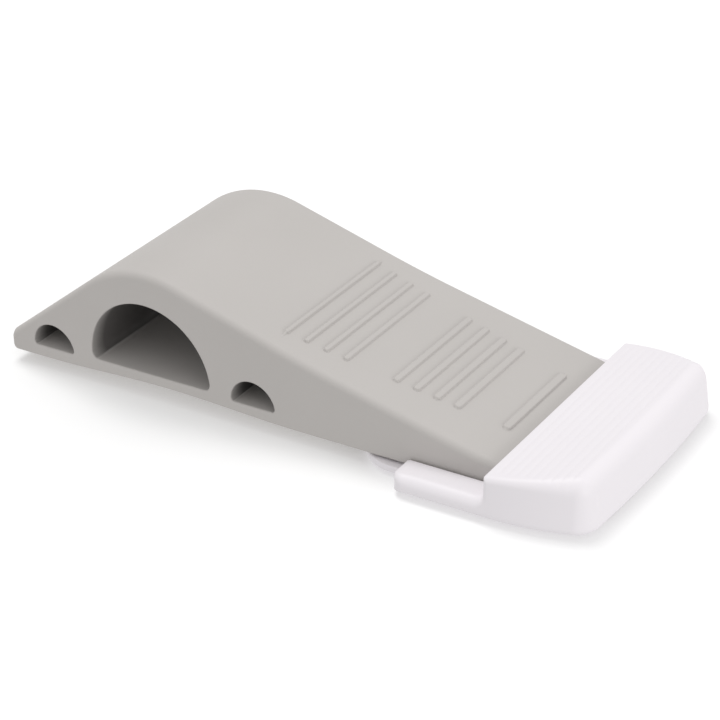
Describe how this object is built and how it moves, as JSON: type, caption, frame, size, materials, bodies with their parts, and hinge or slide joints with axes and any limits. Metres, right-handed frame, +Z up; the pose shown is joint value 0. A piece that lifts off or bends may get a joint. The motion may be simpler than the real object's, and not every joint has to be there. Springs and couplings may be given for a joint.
{
  "type": "door stop",
  "caption": "Soft rubber wedge door stop with arched tunnels and raised grip ribs, stored in a white stick-on plastic holder that caps its thin end.",
  "frame": {"origin": "centre of the footprint, on the lowest face (the release liner's underside)", "axes": "+X from the wedge's blunt nose to the holder's closed end, +Y across the width, +Z up out of the holder's back plate"},
  "size_m": [0.1404, 0.0598, 0.0287],
  "materials": {
    "wedge_rubber": "soft satin, warm light grey",
    "holder_plastic": "smooth white moulding, low gloss",
    "tape_foam": "matt white foam tape",
    "liner_film": "waxy pale film"
  },
  "bodies": {
    "holder": {"wall_holder": "holder_plastic", "adhesive_pad": "tape_foam", "release_liner": "liner_film"},
    "wedge": {"rubber_wedge": "wedge_rubber"}
  },
  "joints": [
    {"name": "wedge_slide", "type": "slide", "parent": "holder", "child": "wedge", "axis": [-1, 0, 0], "range_m": [0, 0.06]}
  ]
}
